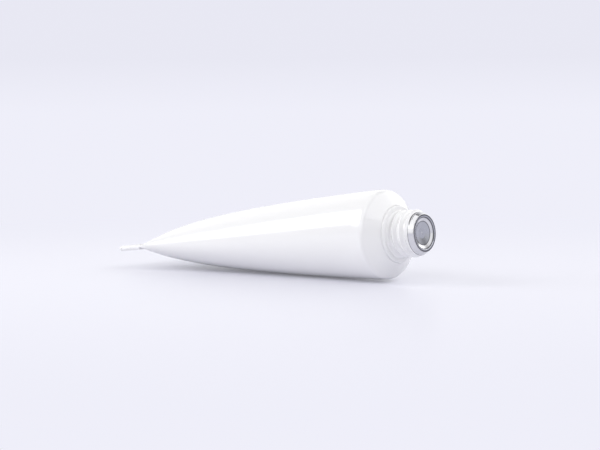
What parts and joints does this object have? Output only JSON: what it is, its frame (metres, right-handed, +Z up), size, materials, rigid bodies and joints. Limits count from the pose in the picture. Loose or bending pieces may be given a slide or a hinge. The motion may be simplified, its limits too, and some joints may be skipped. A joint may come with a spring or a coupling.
{
  "type": "squeeze tube",
  "caption": "Filled and sealed aluminium squeeze tube with a rolled flat end, a conical shoulder and a threaded neck closed by a membrane.",
  "frame": {"origin": "centre of the bounding box at the lowest point of the belly, on the surface the tube lies on", "axes": "+X towards the neck, +Y across the width of the rolled end, +Z up; the tube lies at rest, its axis tilted up about 4.5 degrees towards the neck"},
  "size_m": [0.0872, 0.0344, 0.0225],
  "materials": {
    "lacquered_aluminium": "white gloss lacquer, with bare turned aluminium at the mouth"
  },
  "bodies": {
    "root": {"tube": "lacquered_aluminium"}
  },
  "joints": []
}
